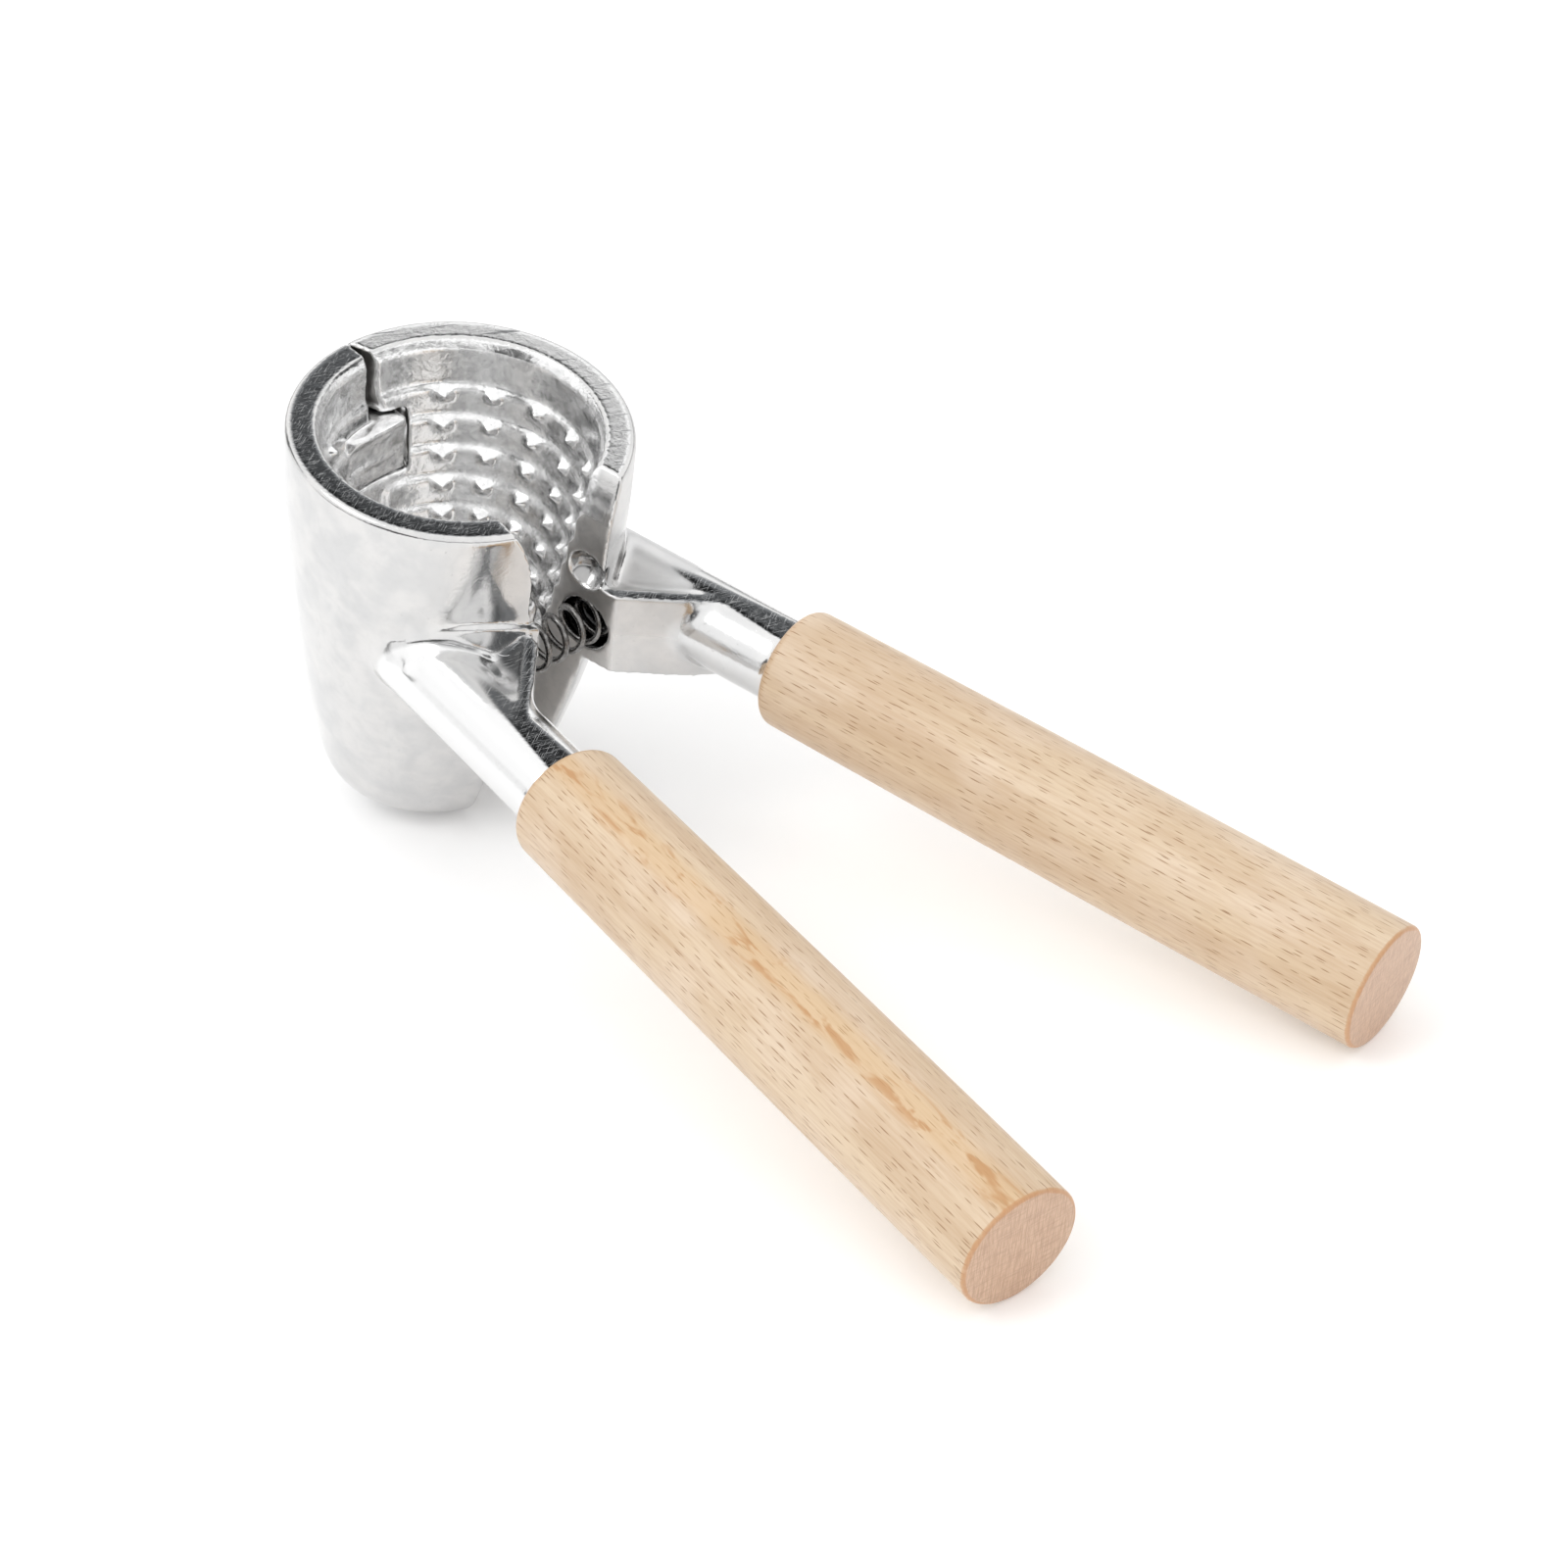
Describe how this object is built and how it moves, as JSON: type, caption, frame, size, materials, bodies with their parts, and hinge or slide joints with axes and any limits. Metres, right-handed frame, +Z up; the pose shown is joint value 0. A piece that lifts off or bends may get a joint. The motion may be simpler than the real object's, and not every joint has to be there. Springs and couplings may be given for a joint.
{
  "type": "nutcracker",
  "caption": "Hinged cone nutcracker: two toothed half-cup jaws on a pin, held open by a coil spring, with two turned wooden handles.",
  "frame": {"origin": "on the ground, under the middle of the whole tool at rest on its cup and both handle ends", "axes": "+X from the cup towards the handle ends, +Y towards the left jaw, +Z up; the cup's mouth looks up and leans towards the handles"},
  "size_m": [0.1804, 0.0954, 0.0741],
  "materials": {
    "casting": "polished casting, ground on the flats",
    "pin_steel": "turned",
    "spring_steel": "dark drawn wire",
    "handle_wood": "satin beech"
  },
  "bodies": {
    "left_half": {"left_jaw": "casting", "left_handle": "handle_wood", "spring": "spring_steel"},
    "right_half": {"right_jaw": "casting", "right_handle": "handle_wood", "hinge_pin": "pin_steel"}
  },
  "joints": [
    {"name": "hinge", "type": "hinge", "parent": "left_half", "child": "right_half", "pos_m": [-0.0835, 0, 0.04874], "axis": [0.2345, 0, 0.9721], "range_deg": [0, 18], "stiffness_Nm_per_rad": 2, "deforming": ["spring"]}
  ]
}
